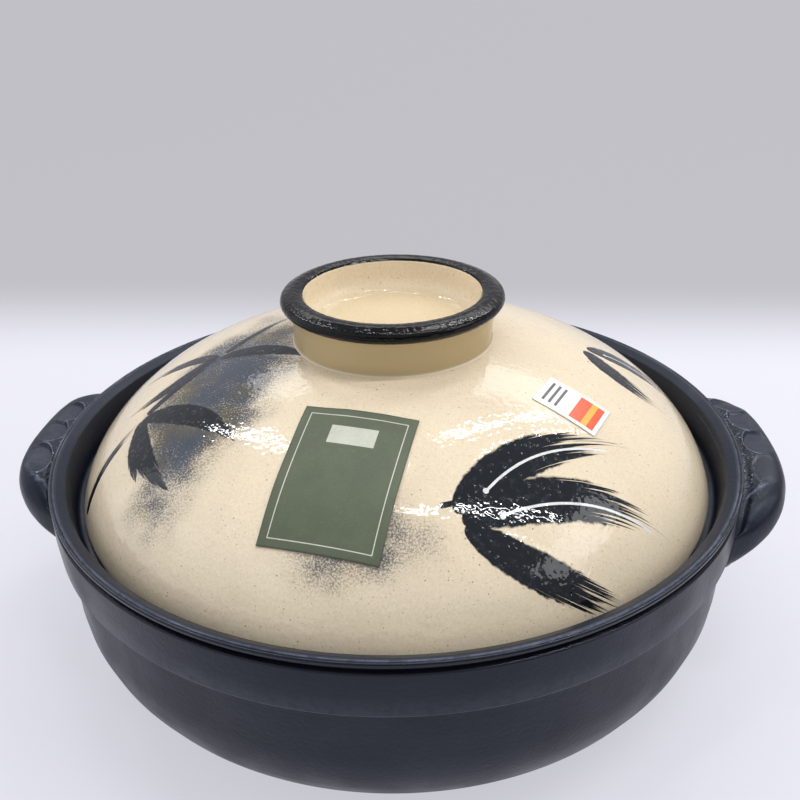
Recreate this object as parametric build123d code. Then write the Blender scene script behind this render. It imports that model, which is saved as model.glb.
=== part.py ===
from build123d import *
import os
from math import atan2, degrees, sqrt

os.makedirs("parts", exist_ok=True)

# A lidded clay cooking pot. Origin on the table under the middle of the base, +Z up,
# the two handles along X. Millimetres.

# Bowl
pot_height = 91.2
band_radius = 145.2  # widest line of the band below the rim
band_height = 22.0  # from the band's lower edge up to the rim's top
band_step = 3.4  # how far the band stands out from the bowl below it
band_taper = 0.5  # how far the band draws in at its upper and lower edges
step_drop = 1.4
corner_radius = 40.6
underside_height = 3.2
bowl_wall = 9.0
floor_thickness = 9.0
floor_dish = 1.5

# Foot ring
foot_inset = 5.2  # from the turn of the bowl's underside in to the foot
foot_width = 11.0
foot_flare = 2.0
foot_recess = 2.0
foot_round = 0.8

# Rim
rim_width = 3.7  # flat top of the rim, measured along the radius
rim_inset = 0.7  # how far the rim's outer face stands in from the band
rim_round = 1.1
lip_height = 2.9  # height of the dark lip above the neck
neck_depth = 0.9
neck_height = 1.5
bevel_width = 3.4  # sloping face inside the rim
bevel_drop = 5.2

# Gallery that carries the lid
gallery_wall = 9.0  # clay between the gallery and the outside of the band
ledge_depth = 15.7  # depth of the ledge below the rim's top
ledge_width = 10.0
ledge_thickness = 4.0
ledge_blend_share = 0.54  # share of the wall below the ledge over which its underside runs back
gallery_round = 2.0

# Lid
lid_clearance = 2.8  # gap between the lid's edge and the gallery
lid_rise = 63.0  # top of the dome above the ledge
lid_wall = 7.0
lid_edge_round = 1.5
dome_fullness_share = 1.84
dome_shoulder_share = 1 / 2.22
dome_cut_share = 0.98537  # where along the full oval the lid's edge cuts it off

# Grip ring on the lid
ring_rise = 16.0  # top of the ring above the top of the dome
ring_lip_radius = 45.5
ring_lip_height = 5.0
ring_crown_radius = 40.8
ring_mouth_radius = 36.0
ring_waist_radius = 41.2
ring_foot_radius = 41.4
ring_foot_blend = 2.0
ring_waist_height = 9.0  # height of the waist below the ring's top
ring_floor_rise = 0.9  # floor of the ring above the top of the dome
ring_floor_round = 9.0
ring_wall_draft = 1.6

# Handles
left_handle_reach = 16.9  # how far a handle stands out from the band
right_handle_reach = 17.8
left_handle_half_length = 50.0
right_handle_half_length = 54.5
handle_drop = 2.7  # top of the handles below the rim's top
handle_height = 24.0
handle_root = 7.0  # depth to which the blank runs into the wall before it is trimmed
press_radius = 13.0
press_depth = 2.6
press_inset = 4.6  # from the handle's outer face in to the middle of a finger press
faint_press_depth = 1.4
left_press_places = [13.5, -5.5, -26.0]  # along the handle, from its middle towards the back
right_press_places = [29.5, 12.0, -7.5]
right_faint_press_place = -27.0

# Labels on the lid
label_thickness = 0.3
label_glue = 0.1  # film of glue under a label
paper_label_width = 42.0
paper_label_length = 57.5
paper_label_raise = 0.1  # from the middle between ring and lid edge, up towards the ring
paper_label_angle = -98.3
paper_label_twist = -3.3
small_label_width = 19.0
small_label_length = 26.6
small_label_raise = 7.7
small_label_angle = -30.0
small_label_twist = 4.6

# Sizes that follow from the ones above
bowl_radius = band_radius - band_step
rim_radius = band_radius - rim_inset
rim_inner_radius = rim_radius - rim_width
gallery_radius = band_radius - gallery_wall
ledge_inner_radius = gallery_radius - ledge_width
inner_radius = bowl_radius - bowl_wall
inner_corner_radius = corner_radius - bowl_wall
corner_middle = underside_height + corner_radius
foot_radius = bowl_radius - corner_radius - foot_inset
floor_height = underside_height + floor_thickness
neck_top = pot_height - lip_height
neck_bottom = neck_top - neck_height
band_bottom = pot_height - band_height
ledge_height = pot_height - ledge_depth
ledge_underside = ledge_height - ledge_thickness
ledge_blend = (ledge_underside - corner_middle) * ledge_blend_share
handle_top = pot_height - handle_drop
handle_bottom = handle_top - handle_height
lid_radius = gallery_radius - lid_clearance
lid_top = ledge_height + lid_rise
ring_top = lid_top + ring_rise
ring_floor_height = lid_top + ring_floor_rise
label_middle_radius = (ring_foot_radius + ring_foot_blend + lid_radius) / 2
paper_label_radius = label_middle_radius - paper_label_raise
small_label_radius = label_middle_radius - small_label_raise

# A handle's cross-section as shares of its reach and of its height, from its foot round to its top
section_shares = [
    (0.10, 0.07), (0.58, 0.23), (0.92, 0.42), (1.00, 0.62), (0.965, 0.82),
    (0.85, 0.94), (0.58, 1.00), (0.28, 0.98), (0.02, 0.90),
]
section_root_shares = (0.0, 0.86)
# Stations along a handle, as shares: place, reach, foot and top of the section, and how far it is sunk
station_shares = [
    (0.0, 1.0, 0.0, 1.0, 0.0), (0.36, 1.0, 0.0, 1.0, 0.0), (0.62, 0.97, -0.02, 0.965, 0.0),
    (0.80, 0.87, -0.06, 0.86, 0.0), (0.92, 0.66, -0.11, 0.69, 0.0), (1.0, 0.36, -0.16, 0.53, 0.0),
    (1.07, 0.12, -0.18, 0.40, 0.25),
]
dome_points = 12


def turned(outline):
    """Solid turned about Z from a closed outline of radius and height."""
    return revolve(Plane.XZ * make_face(outline), Axis.Z)


def mid_arc(middle, radius, start, end):
    """Arc about a middle point, from a start angle to an end angle in degrees."""
    return CenterArc(middle, radius, start, end - start)


def dome_share(radius_share):
    """Height of the dome as a share of its rise, for a share of its edge radius."""
    def oval(share):
        return (1 - (share * dome_cut_share) ** dome_fullness_share) ** dome_shoulder_share
    edge = oval(1)
    return (oval(radius_share) - edge) / (1 - edge)


def dome_height(radius):
    """Height of the dome's outside above the table at a radius."""
    edge_height = ledge_height + lid_edge_round
    return edge_height + (lid_top - edge_height) * dome_share(radius / lid_radius)


def dome_curve(edge_radius, edge_height, top_height):
    """Spline up the dome, from its edge to the axis."""
    rise = top_height - edge_height
    shares = [sqrt(1 - (step / dome_points) ** 2) for step in range(dome_points)] + [0]
    points = [(edge_radius * share, edge_height + rise * dome_share(share)) for share in shares]
    return Spline(points)


def dome_solid(growth):
    """The lid's outer form as a full solid, grown outwards by a small amount."""
    edge_height = ledge_height + lid_edge_round
    edge = (lid_radius + growth, edge_height)
    curve = dome_curve(edge[0], edge_height, lid_top + growth)
    return turned([
        curve,
        Line((0, lid_top + growth), (0, ledge_height)),
        Line((0, ledge_height), (edge[0], ledge_height)),
        Line((edge[0], ledge_height), edge),
    ])


def pot_outer_lines():
    """Outline of the pot's outside, from the foot's inner edge up to the rim's inner edge."""
    foot_inner = foot_radius - foot_width
    foot_top = (foot_radius + foot_flare, underside_height)
    corner = (bowl_radius - corner_radius, corner_middle)
    band_edge = band_radius - band_taper
    band_middle = (band_bottom + neck_bottom) / 2
    neck_radius = rim_radius - neck_depth
    lip_start = (rim_radius, neck_top + rim_round)
    return [
        Line((0, foot_recess), (foot_inner - foot_recess, foot_recess)),
        Line((foot_inner - foot_recess, foot_recess), (foot_inner, 0)),
        Line((foot_inner, 0), (foot_radius - foot_round, 0)),
        mid_arc((foot_radius - foot_round, foot_round), foot_round, -90, 0),
        Line((foot_radius, foot_round), foot_top),
        Line(foot_top, (corner[0], underside_height)),
        mid_arc(corner, corner_radius, -90, 0),
        Line((bowl_radius, corner_middle), (bowl_radius, band_bottom - step_drop)),
        Line((bowl_radius, band_bottom - step_drop), (band_edge, band_bottom)),
        ThreePointArc((band_edge, band_bottom), (band_radius, band_middle), (band_edge, neck_bottom)),
        Line((band_edge, neck_bottom), (neck_radius, neck_top)),
        Line((neck_radius, neck_top), lip_start),
        Line(lip_start, (rim_radius, pot_height - rim_round)),
        mid_arc((rim_radius - rim_round, pot_height - rim_round), rim_round, 0, 90),
        Line((rim_radius - rim_round, pot_height), (rim_inner_radius, pot_height)),
    ]


def pot_inner_lines():
    """Outline of the pot's inside, from the rim's inner edge down to the middle of the floor."""
    bevel_foot = (rim_inner_radius - bevel_width, pot_height - bevel_drop)
    cove = (gallery_radius - gallery_round, ledge_height + gallery_round)
    ledge_end = (ledge_inner_radius, ledge_underside)
    blend_end = (inner_radius, ledge_underside - ledge_blend)
    corner = (inner_radius - inner_corner_radius, floor_height + inner_corner_radius)
    return [
        Line((rim_inner_radius, pot_height), bevel_foot),
        Line(bevel_foot, (gallery_radius, cove[1])),
        mid_arc(cove, gallery_round, 0, -90),
        Line((cove[0], ledge_height), (ledge_inner_radius, ledge_height)),
        Line((ledge_inner_radius, ledge_height), ledge_end),
        Line(ledge_end, blend_end),
        Line(blend_end, (inner_radius, corner[1])),
        mid_arc(corner, inner_corner_radius, 0, -90),
        Line((corner[0], floor_height), (0, floor_height - floor_dish)),
    ]


def pot_body():
    """The thrown bowl, with its foot ring, rim and gallery."""
    axis_line = Line((0, floor_height - floor_dish), (0, foot_recess))
    return turned(pot_outer_lines() + pot_inner_lines() + [axis_line])


def pot_envelope():
    """The pot's outer form filled in, used to trim what is luted on its wall."""
    top_line = Line((rim_inner_radius, pot_height), (0, pot_height))
    return turned(pot_outer_lines() + [top_line, Line((0, pot_height), (0, foot_recess))])


def handle_section(station, half_length, full_reach):
    """Face across a handle at one station, its back edge inside the wall."""
    place, reach_share, foot_share, top_share, sink_share = station
    along = place * half_length
    reach = reach_share * full_reach
    foot = handle_bottom + foot_share * (handle_top - handle_bottom)
    height = (top_share - foot_share) * (handle_top - handle_bottom)
    wall = sqrt(band_radius ** 2 - along ** 2) - sink_share * full_reach
    points = [(wall + share * reach, foot + level * height) for share, level in section_shares]
    low, high = section_root_shares
    low_corner = (wall - handle_root, foot + low * height)
    high_corner = (wall - handle_root, foot + high * height)
    outline = [
        Line(low_corner, points[0]),
        Spline(points),
        Line(points[-1], high_corner),
        Line(high_corner, low_corner),
    ]
    plane = Plane(origin=(0, along, 0), x_dir=(1, 0, 0), z_dir=(0, -1, 0))
    return plane * make_face(outline)


def handle_blank(half_length, reach):
    """One handle on the +X side, lofted along Y and trimmed to the pot's wall."""
    mirrored = [(-station[0],) + station[1:] for station in reversed(station_shares[1:])]
    sections = [handle_section(station, half_length, reach) for station in mirrored + station_shares]
    return loft(sections) - pot_envelope()


def finger_press(place, reach, depth):
    """Ball that presses a finger mark into the handle's top."""
    wall = sqrt(band_radius ** 2 - place ** 2)
    middle = (wall + reach - press_inset, place, handle_top + press_radius - depth)
    return Pos(*middle) * Sphere(press_radius)


def handle_left():
    """The handle on -X."""
    body = handle_blank(left_handle_half_length, left_handle_reach)
    for place in left_press_places:
        body -= finger_press(place, left_handle_reach, press_depth)
    return mirror(body, Plane.YZ)


def handle_right():
    """The handle on +X, with one faint finger press more."""
    body = handle_blank(right_handle_half_length, right_handle_reach)
    for place in right_press_places:
        body -= finger_press(place, right_handle_reach, press_depth)
    return body - finger_press(right_faint_press_place, right_handle_reach, faint_press_depth)


def lid_dome():
    """The thrown lid: a hollow dome with a rounded edge that lies on the gallery's ledge."""
    edge_height = ledge_height + lid_edge_round
    inner_edge = lid_radius - lid_wall
    inner_top = lid_top - lid_wall
    outer_round = lid_radius - lid_edge_round
    inner_round = inner_edge + lid_edge_round
    return turned([
        dome_curve(lid_radius, edge_height, lid_top),
        Line((0, lid_top), (0, inner_top)),
        dome_curve(inner_edge, edge_height, inner_top),
        mid_arc((inner_round, edge_height), lid_edge_round, 180, 270),
        Line((inner_round, ledge_height), (outer_round, ledge_height)),
        mid_arc((outer_round, edge_height), lid_edge_round, -90, 0),
    ])


def lid_knob_ring():
    """The grip ring, seated on the dome."""
    mouth = (ring_mouth_radius, ring_top - rim_round)
    crown = (ring_crown_radius, ring_top)
    lip_middle = ring_top - ring_lip_height
    lip = (ring_lip_radius, lip_middle + rim_round)
    lip_foot = (ring_waist_radius + rim_round, lip_middle - rim_round)
    waist = (ring_waist_radius, ring_top - ring_waist_height)
    seat = dome_height(ring_foot_radius)
    blend = (ring_foot_radius + ring_foot_blend, seat - ring_foot_blend)
    floor_reach = ring_mouth_radius - ring_wall_draft - ring_floor_round
    outline = [
        Line((0, ledge_height), (0, ring_floor_height)),
        Line((0, ring_floor_height), (floor_reach, ring_floor_height)),
        mid_arc((floor_reach, ring_floor_height + ring_floor_round), ring_floor_round, -90, 0),
        Line((floor_reach + ring_floor_round, ring_floor_height + ring_floor_round), mouth),
        Spline([mouth, crown, lip, lip_foot, waist]),
        Spline([waist, (ring_foot_radius, seat + ring_foot_blend), blend]),
        Line(blend, (blend[0], ledge_height)),
        Line((blend[0], ledge_height), (0, ledge_height)),
    ]
    return turned(outline) - dome_solid(0)


def dome_label(width, length, radius, angle, twist):
    """Thin label lying on the dome: length runs down the dome, width across it."""
    fall = dome_height(radius - length / 2) - dome_height(radius + length / 2)
    tilt = degrees(atan2(fall, length))
    prism = Rot(0, tilt, 0) * Rot(0, 0, twist) * Box(length, width, length)
    shell = dome_solid(label_glue + label_thickness) - dome_solid(label_glue)
    return shell & (Rot(0, 0, angle) * Pos(radius, 0, dome_height(radius)) * prism)


parts = {
    "pot_body": pot_body(),
    "handle_left": handle_left(),
    "handle_right": handle_right(),
    "lid_dome": lid_dome(),
    "lid_knob_ring": lid_knob_ring(),
    "paper_label": dome_label(paper_label_width, paper_label_length, paper_label_radius,
                              paper_label_angle, paper_label_twist),
    "small_label": dome_label(small_label_width, small_label_length, small_label_radius,
                              small_label_angle, small_label_twist),
}

for name, part in parts.items():
    part.label = name
    export_step(part, f"parts/{name}.step")
    print(name, "solids", len(part.solids()), "volume", round(part.volume))
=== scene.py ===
import math

import bpy
import numpy as np
from mathutils import Matrix, Vector


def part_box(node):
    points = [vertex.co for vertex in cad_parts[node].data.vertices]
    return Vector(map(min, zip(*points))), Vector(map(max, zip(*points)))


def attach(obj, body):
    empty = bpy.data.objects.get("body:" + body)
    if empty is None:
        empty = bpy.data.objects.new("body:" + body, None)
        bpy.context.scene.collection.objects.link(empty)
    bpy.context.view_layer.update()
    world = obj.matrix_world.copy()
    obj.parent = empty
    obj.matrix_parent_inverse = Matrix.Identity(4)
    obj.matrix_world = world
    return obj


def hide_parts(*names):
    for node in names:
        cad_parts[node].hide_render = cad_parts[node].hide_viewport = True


# A lidded clay cooking pot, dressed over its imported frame.
# Shapes are worked out in millimetres and put into the meshes in metres.

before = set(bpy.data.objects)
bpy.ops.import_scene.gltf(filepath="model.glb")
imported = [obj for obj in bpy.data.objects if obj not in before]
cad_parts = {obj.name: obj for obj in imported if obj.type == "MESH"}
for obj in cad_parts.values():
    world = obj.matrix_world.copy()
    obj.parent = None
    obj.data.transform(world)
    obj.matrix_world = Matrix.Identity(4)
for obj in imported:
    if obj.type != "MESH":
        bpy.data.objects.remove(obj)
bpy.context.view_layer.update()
mm = 0.001
print("frame loaded:", sorted(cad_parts))


def nodeBox(name):
    low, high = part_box(name)
    return np.array(low) / mm, np.array(high) / mm


def tone(red, green, blue):
    # linear colour of an 8-bit screen colour
    levels = [value / 255 for value in (red, green, blue)]
    return tuple(((level + 0.055) / 1.055) ** 2.4 for level in levels) + (1.0,)


def smoothStep(low, high, value):
    # 0 below low, 1 above high, and 3t^2 - 2t^3 between them
    share = np.clip((value - low) / (high - low), 0, 1)
    return share * share * (3 - 2 * share)


def waves(points, size, seed, count=28):
    # sum of plane waves of about one size, with seeded directions and phases; about -1 to 1
    draw = np.random.default_rng(seed)
    directions = draw.normal(size=(count, 3))
    directions /= np.linalg.norm(directions, axis=1)[:, None]
    steps = 2 * np.pi / (size * draw.uniform(0.7, 1.4, count))
    phases = draw.uniform(0, 2 * np.pi, count)
    return np.sin(points @ (directions * steps[:, None]).T + phases).sum(-1) / math.sqrt(count)


def easedCurve(places, knownPlaces, knownValues):
    # cubic through the known values, its slope at each being the mean of the slopes beside it
    knownPlaces, knownValues = np.asarray(knownPlaces, float), np.asarray(knownValues, float)
    gaps = np.diff(knownPlaces)
    slopes = np.diff(knownValues, axis=0) / (gaps if knownValues.ndim == 1 else gaps[:, None])
    ends = np.concatenate([slopes[:1], (slopes[1:] + slopes[:-1]) / 2, slopes[-1:]])
    spot = np.clip(np.searchsorted(knownPlaces, places, side="right") - 1, 0, len(gaps) - 1)
    gap = gaps[spot]
    share = (places - knownPlaces[spot]) / gap
    if knownValues.ndim == 2:
        gap, share = gap[:, None], share[:, None]
    square, cube = share ** 2, share ** 3
    return ((2 * cube - 3 * square + 1) * knownValues[spot] + (cube - 2 * square + share) * gap * ends[spot]
            + (3 * square - 2 * cube) * knownValues[spot + 1] + (cube - square) * gap * ends[spot + 1])


def roundedOutline(corners, step, turnStep=0.2):
    # straight runs joined by tangent arcs; a corner is radius, height and, if it is rounded, the rounding
    spots = np.array([corner[:2] for corner in corners], float)
    rounds = [corner[2] if len(corner) > 2 else 0 for corner in corners]
    pieces, last = [spots[:1]], spots[0]
    for before, here, after, rounding in zip(spots, spots[1:], spots[2:], rounds[1:]):
        lengthIn, lengthOut = np.linalg.norm(here - before), np.linalg.norm(after - here)
        wayIn, wayOut = (here - before) / lengthIn, (after - here) / lengthOut
        free = np.linalg.norm(here - last)
        turn = math.atan2(wayIn[0] * wayOut[1] - wayIn[1] * wayOut[0], wayIn @ wayOut)
        reach = min(abs(math.tan(turn / 2)) * rounding, 0.98 * free, 0.94 * lengthOut)
        start, end = here - wayIn * reach, here + wayOut * reach
        pieces.append(dividedRun(last, start, step))
        if reach > 0:
            share = np.linspace(0, 1, max(3, math.ceil(abs(turn) / turnStep) + 1))[1:, None]
            first, middle, final = (1 - share) ** 2, 2 * math.cos(turn / 2) * share * (1 - share), share ** 2
            pieces.append((first * start + middle * here + final * end) / (first + middle + final))
        last = end
    pieces.append(dividedRun(last, spots[-1], step))
    return np.concatenate(pieces)


def dividedRun(start, end, step):
    # points after start, up to and with end, no further apart than step
    length = np.linalg.norm(end - start)
    if length < 1e-9:
        return np.empty((0, 2))
    share = np.linspace(0, 1, math.ceil(length / step) + 1)[1:, None]
    return start + share * (end - start)


def arcLengths(outline):
    return np.concatenate([[0], np.cumsum(np.linalg.norm(np.diff(outline, axis=0), axis=1))])


def turnedPoints(outline, around):
    # outline point (r, z) at angle a is (r cos a, r sin a, z); the first and last lie on the axis
    angles = np.arange(around) * 2 * np.pi / around
    radius, height = outline[1:-1, :1], outline[1:-1, 1:]
    rings = np.stack([radius * np.cos(angles), radius * np.sin(angles), height + 0 * angles], -1)
    poles = np.array([[0, 0, outline[0, 1]], [0, 0, outline[-1, 1]]])
    return np.concatenate([poles[:1], rings.reshape(-1, 3), poles[1:]])


def turnedFaces(ringCount, around):
    # quads between rings and a fan at each pole, facing out when the outline runs counterclockwise
    ring, spot = np.meshgrid(np.arange(ringCount - 1), np.arange(around), indexing="ij")
    following = (spot + 1) % around
    near, far = 1 + ring * around, 1 + (ring + 1) * around
    quads = np.stack([near + spot, near + following, far + following, far + spot], -1).reshape(-1, 4)
    spot, following = np.arange(around), (np.arange(around) + 1) % around
    lastRing, lastPole = 1 + (ringCount - 1) * around, 1 + ringCount * around
    startFan = np.stack([0 * spot, 1 + following, 1 + spot], -1)
    endFan = np.stack([lastRing + spot, lastRing + following, lastPole + 0 * spot], -1)
    return [quads, startFan, endFan]


def slabFaces(columns, rows):
    # upper grid, lower grid right after it, and the strip round the edge that joins them
    grid = np.arange(columns * rows).reshape(columns, rows)
    upper = np.stack([grid[:-1, :-1], grid[1:, :-1], grid[1:, 1:], grid[:-1, 1:]], -1).reshape(-1, 4)
    edge = np.concatenate([grid[:, 0], grid[-1, 1:], grid[-2::-1, -1], grid[0, -2:0:-1]])
    following = np.roll(edge, -1)
    below = columns * rows
    strip = np.stack([edge, edge + below, following + below, following], -1)
    return [upper, upper[:, ::-1] + below, strip]


def addPiece(name, points, faces, material, body, node, fields):
    # a finished piece: its place in its mesh, its fields kept as attributes of the points
    corners = np.concatenate([face.ravel() for face in faces]).astype(np.int32)
    sizes = np.concatenate([np.full(len(face), face.shape[1]) for face in faces])
    mesh = bpy.data.meshes.new(name)
    mesh.vertices.add(len(points))
    mesh.loops.add(len(corners))
    mesh.polygons.add(len(sizes))
    mesh.vertices.foreach_set("co", (points * mm).astype(np.float32).ravel())
    mesh.loops.foreach_set("vertex_index", corners)
    mesh.polygons.foreach_set("loop_start", (np.cumsum(sizes) - sizes).astype(np.int32))
    mesh.polygons.foreach_set("use_smooth", np.ones(len(sizes), bool))
    mesh.update(calc_edges=True)
    mesh.validate()
    for fieldName, values in fields.items():
        kind, key = ("FLOAT_VECTOR", "vector") if values.ndim == 2 else ("FLOAT", "value")
        layer = mesh.attributes.new(fieldName, kind, "POINT")
        layer.data.foreach_set(key, values.astype(np.float32).ravel())
    piece = bpy.data.objects.new(name, mesh)
    bpy.context.scene.collection.objects.link(piece)
    mesh.materials.append(material)
    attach(piece, body)
    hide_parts(node)
    print("piece:", name, len(points), "points,", int((sizes - 2).sum()), "triangles")


def newNode(tree, kind, links=None, **values):
    # a shader node with its settings, and with each input joined to a socket or set to a value
    node = tree.nodes.new("ShaderNode" + kind)
    for name, value in values.items():
        setattr(node, name, value)
    for name, value in (links or {}).items():
        if isinstance(value, bpy.types.NodeSocket):
            tree.links.new(value, node.inputs[name])
        else:
            node.inputs[name].default_value = value
    return node


def calc(tree, operation, *values):
    return newNode(tree, "Math", dict(enumerate(values)), operation=operation).outputs[0]


def times(tree, first, *others):
    # product of all the values
    for other in others:
        first = calc(tree, "MULTIPLY", first, other)
    return first


def plus(tree, first, second):
    return calc(tree, "ADD", first, second)


def minus(tree, first, second):
    return calc(tree, "SUBTRACT", first, second)


def fade(tree, value, low, high, start=0.0, end=1.0):
    # smooth step; clamping is left off because Cycles would put every clamp off to the end of the shader
    links = {"Value": value, "From Min": low, "From Max": high, "To Min": start, "To Max": end}
    return newNode(tree, "MapRange", links, interpolation_type="SMOOTHSTEP", clamp=False).outputs[0]


def blendColours(tree, share, first, second):
    return newNode(tree, "Mix", {0: share, 6: first, 7: second}, data_type="RGBA").outputs[2]


def blendValues(tree, share, first, second):
    return newNode(tree, "Mix", {0: share, 2: first, 3: second}).outputs[0]


def parts(tree, vector):
    # X, Y and Z of a vector
    return newNode(tree, "SeparateXYZ", {0: vector}).outputs


def noise(tree, vector, scale, detail=2.0, rough=0.5, seed=None):
    links = {"Vector": vector, "Scale": scale, "Detail": detail, "Roughness": rough}
    if seed is None:
        return newNode(tree, "TexNoise", links).outputs[0]
    return newNode(tree, "TexNoise", {**links, "W": seed}, noise_dimensions="4D").outputs[0]


def newGroup(name, inputs, outputs):
    group = bpy.data.node_groups.new(name, "ShaderNodeTree")
    for socketName, kind, value in inputs:
        socketKind = "NodeSocket" + kind
        socket = group.interface.new_socket(name=socketName, in_out="INPUT", socket_type=socketKind)
        socket.default_value = value
    for socketName, kind in outputs:
        group.interface.new_socket(name=socketName, in_out="OUTPUT", socket_type="NodeSocket" + kind)
    return group, group.nodes.new("NodeGroupInput").outputs, group.nodes.new("NodeGroupOutput").inputs


def placeGroup(tree, group, links):
    node = newNode(tree, "Group", node_tree=group)
    for name, value in links.items():
        if isinstance(value, bpy.types.NodeSocket):
            tree.links.new(value, node.inputs[name])
        else:
            node.inputs[name].default_value = value
    return node.outputs


def newMaterial(name, **shaderValues):
    material = bpy.data.materials.new(name)
    material.use_nodes = True
    tree = material.node_tree
    shader = tree.nodes["Principled BSDF"]
    for socketName, value in shaderValues.items():
        shader.inputs[socketName].default_value = value
    return material, tree, shader.inputs


def field(tree, name, output="Fac"):
    return newNode(tree, "Attribute", attribute_name=name).outputs[output]


def objectPlace(tree):
    return newNode(tree, "TexCoord").outputs["Object"]


def bumpInto(tree, shaderInputs, height, distance):
    bump = newNode(tree, "Bump", {"Height": height, "Distance": distance, "Strength": 1.0})
    tree.links.new(bump.outputs[0], shaderInputs["Normal"])


# a fleck row is its scale against Fleck Scale, its size, the share of cells left out and its strength
glazeGrain = {
    "cloudScale": 26.0, "grainScale": 1250.0, "broadScale": 0.17, "broadHeight": 0.6,
    "flecks": ((1.0, 0.15, 0.78, 1.0), (1.9, 0.2, 0.68, 0.75)), "fleckCore": 0.35,
    "pinholeSize": 0.035, "pinholeCore": 0.012, "pinholesLeftOut": 0.8, "pinholeDepth": 1.2,
    "pinholeColour": (0.004, 0.004, 0.005, 1), "pinholeShade": 0.85,
}


def cellDots(tree, place, scale, size, core, channel, leftOut):
    # dots in the middles of Voronoi cells, fading from core out to size, in the cells picked by chance
    cells = newNode(tree, "TexVoronoi", {"Vector": place, "Scale": scale}).outputs
    chance = newNode(tree, "SeparateColor", {0: cells["Color"]}).outputs[channel]
    return times(tree, fade(tree, cells["Distance"], size, core), calc(tree, "GREATER_THAN", chance, leftOut))


def makeGlazeSkin():
    # fired glaze: soft mottling, scattered iron flecks, a few pinholes and an orange-peel skin
    group, given, made = newGroup("glazeSkin", [
        ("Colour", "Color", (1, 1, 1, 1)), ("Cloud Colour", "Color", (1, 1, 1, 1)),
        ("Fleck Colour", "Color", (0, 0, 0, 1)), ("Cloud Amount", "Float", 0.5),
        ("Fleck Amount", "Float", 0.5), ("Fleck Scale", "Float", 300.0), ("Grain Amount", "Float", 0.3),
        ("Pinhole Scale", "Float", 40.0), ("Peel Scale", "Float", 500.0),
    ], [("Colour", "Color"), ("Height", "Float")])
    place = objectPlace(group)
    clouds = fade(group, noise(group, place, glazeGrain["cloudScale"], 4.0, 0.6), 0.38, 0.68)
    cloudShare = times(group, clouds, given["Cloud Amount"])
    colour = blendColours(group, cloudShare, given["Colour"], given["Cloud Colour"])
    grain = fade(group, noise(group, place, glazeGrain["grainScale"], 3.0, 0.75), 0.32, 0.62, 1.0, 0.0)
    colour = blendColours(group, times(group, grain, given["Grain Amount"]), colour, given["Fleck Colour"])
    for scaleShare, size, leftOut, strength in glazeGrain["flecks"]:
        scale = times(group, given["Fleck Scale"], scaleShare)
        dots = cellDots(group, place, scale, size, size * glazeGrain["fleckCore"], 0, leftOut)
        share = times(group, dots, strength, given["Fleck Amount"])
        colour = blendColours(group, share, colour, given["Fleck Colour"])
    hole = cellDots(group, place, given["Pinhole Scale"], glazeGrain["pinholeSize"],
                    glazeGrain["pinholeCore"], 1, glazeGrain["pinholesLeftOut"])
    colour = blendColours(group, times(group, hole, glazeGrain["pinholeShade"]), colour,
                          glazeGrain["pinholeColour"])
    peel = noise(group, place, given["Peel Scale"], 1.0, 0.5)
    broad = noise(group, place, times(group, given["Peel Scale"], glazeGrain["broadScale"]), 1.0, 0.5)
    height = plus(group, peel, times(group, broad, glazeGrain["broadHeight"]))
    height = minus(group, height, times(group, hole, glazeGrain["pinholeDepth"]))
    group.links.new(colour, made["Colour"])
    group.links.new(height, made["Height"])
    return group


def strokeSpot(tree, place, middle, turn):
    # the place as seen from a stroke: taken from its middle, then turned back by its turn
    offset = newNode(tree, "VectorMath", {0: place, 1: middle}, operation="SUBTRACT").outputs[0]
    links = {"Vector": offset, "Angle": times(tree, turn, -1)}
    return parts(tree, newNode(tree, "VectorRotate", links, rotation_type="Z_AXIS").outputs[0])


# a leaf's half width along the stroke is full t^rise (1 - t)^fall; scales are per metre
brush = {
    "rise": 0.45, "fall": 0.8, "full": 2.24, "thinnest": 0.00005, "startFade": 0.0003,
    "raggedScale": 260.0, "raggedSide": 0.42, "raggedEnd": 0.1, "hairsAlong": 24.0, "hairsAcross": 1250.0,
    "edgeDryness": 0.14, "dryReach": 0.6, "dryStart": 0.12,
}


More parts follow.
